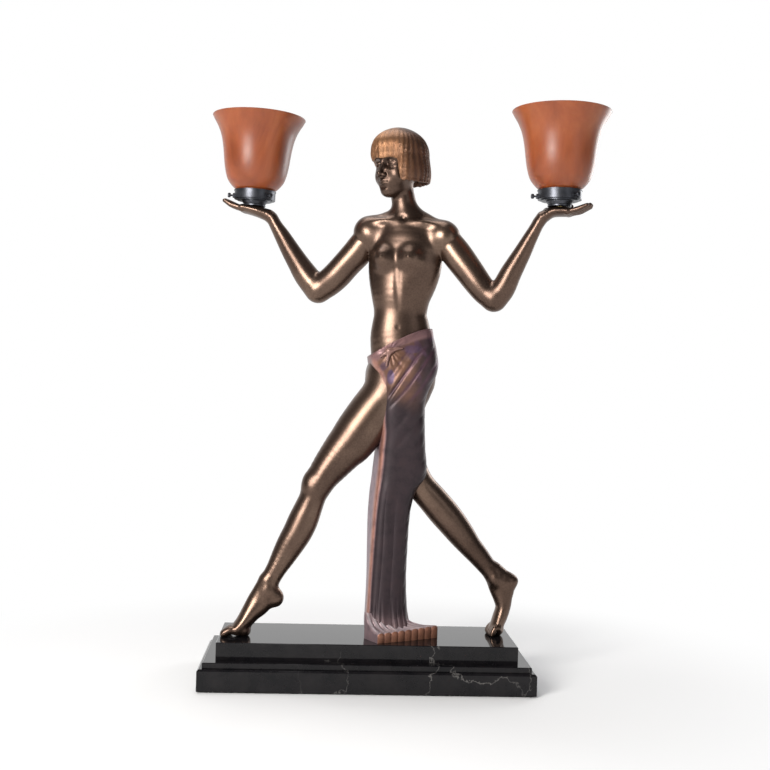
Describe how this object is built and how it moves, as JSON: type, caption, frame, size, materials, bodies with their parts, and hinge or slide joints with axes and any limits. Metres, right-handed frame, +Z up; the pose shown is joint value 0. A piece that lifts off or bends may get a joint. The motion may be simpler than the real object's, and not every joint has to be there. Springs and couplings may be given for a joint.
{
  "type": "figural table lamp",
  "caption": "Bronze dancer striding on a stepped black marble base, holding a glass shaded lamp upright on each raised palm.",
  "frame": {"origin": "middle of the felt underside that stands on the table", "axes": "+Z up, +X to the viewer's right along the long side of the base, -Y towards the viewer, the figure's own right hand at -X"},
  "size_m": [0.5657, 0.2825, 0.8185],
  "materials": {
    "bronze": "dark brown patina rubbed back to golden bronze on the raised forms",
    "bronze_hair": "copper brown patina over fine combed strands",
    "bronze_drape": "purple pink cold patina over orange brown bronze",
    "black_marble": "polished, with a few fine white veins",
    "felt": "dense felt, glued to the stone",
    "dark_fitting": "blackened pewter coloured finish, half gloss",
    "steel": "plain zinc plated",
    "brass": "bright turned brass",
    "black_phenolic": "moulded, half gloss",
    "rubber": "moulded",
    "amber_glass": "satin amber orange glass with faint darker swirls",
    "bulb_glass": "opal white"
  },
  "bodies": {
    "root": {"marble_plinth": "black_marble", "marble_top_block": "black_marble", "felt_pad": "felt", "cord_bushing": "rubber", "casting_washers": "steel", "casting_nuts": "steel", "wire_pipe_nut": "brass", "casting_studs": "steel", "wire_pipe": "brass", "torso": "bronze", "head": "bronze", "hair_cap": "bronze_hair", "right_arm": "bronze", "left_arm": "bronze", "right_leg": "bronze", "left_leg": "bronze", "hip_wrap": "bronze_drape", "drape_fall": "bronze_drape", "drape_train": "bronze_drape", "right_collar": "dark_fitting", "right_gallery": "dark_fitting", "right_threaded_tube": "brass", "right_locknut": "brass", "right_lampholder": "black_phenolic", "right_contact_shell": "brass", "left_collar": "dark_fitting", "left_gallery": "dark_fitting", "left_threaded_tube": "brass", "left_locknut": "brass", "left_lampholder": "black_phenolic", "left_contact_shell": "brass"},
    "right_shade": {"right_shade": "amber_glass", "right_shade_neck": "amber_glass"},
    "right_bulb": {"right_bulb_cap": "steel", "right_bulb_glass": "bulb_glass"},
    "right_thumb_screw_1": {"right_thumb_screw_1": "dark_fitting"},
    "right_thumb_screw_2": {"right_thumb_screw_2": "dark_fitting"},
    "right_thumb_screw_3": {"right_thumb_screw_3": "dark_fitting"},
    "left_shade": {"left_shade": "amber_glass", "left_shade_neck": "amber_glass"},
    "left_bulb": {"left_bulb_cap": "steel", "left_bulb_glass": "bulb_glass"},
    "left_thumb_screw_1": {"left_thumb_screw_1": "dark_fitting"},
    "left_thumb_screw_2": {"left_thumb_screw_2": "dark_fitting"},
    "left_thumb_screw_3": {"left_thumb_screw_3": "dark_fitting"}
  },
  "joints": [
    {"name": "right_shade_lift", "type": "slide", "parent": "root", "child": "right_shade", "axis": [0.0314, 0, 0.9995], "range_m": [0, 0.13]},
    {"name": "right_bulb_lift", "type": "slide", "parent": "root", "child": "right_bulb", "axis": [0.0314, 0, 0.9995], "range_m": [0, 0.022]},
    {"name": "right_thumb_screw_1_out", "type": "slide", "parent": "root", "child": "right_thumb_screw_1", "axis": [-0.9843, -0.1736, 0.0309], "range_m": [0, 0.0025]},
    {"name": "right_thumb_screw_2_out", "type": "slide", "parent": "root", "child": "right_thumb_screw_2", "axis": [0.6425, -0.766, -0.0202], "range_m": [0, 0.0025]},
    {"name": "right_thumb_screw_3_out", "type": "slide", "parent": "root", "child": "right_thumb_screw_3", "axis": [0.3419, 0.9397, -0.0107], "range_m": [0, 0.0025]},
    {"name": "left_shade_lift", "type": "slide", "parent": "root", "child": "left_shade", "axis": [0, 0, 1], "range_m": [0, 0.13]},
    {"name": "left_bulb_lift", "type": "slide", "parent": "root", "child": "left_bulb", "axis": [0, 0, 1], "range_m": [0, 0.022]},
    {"name": "left_thumb_screw_1_out", "type": "slide", "parent": "root", "child": "left_thumb_screw_1", "axis": [-1, 0, 0], "range_m": [0, 0.0025]},
    {"name": "left_thumb_screw_2_out", "type": "slide", "parent": "root", "child": "left_thumb_screw_2", "axis": [0.5, -0.866, 0], "range_m": [0, 0.0025]},
    {"name": "left_thumb_screw_3_out", "type": "slide", "parent": "root", "child": "left_thumb_screw_3", "axis": [0.5, 0.866, 0], "range_m": [0, 0.0025]}
  ]
}
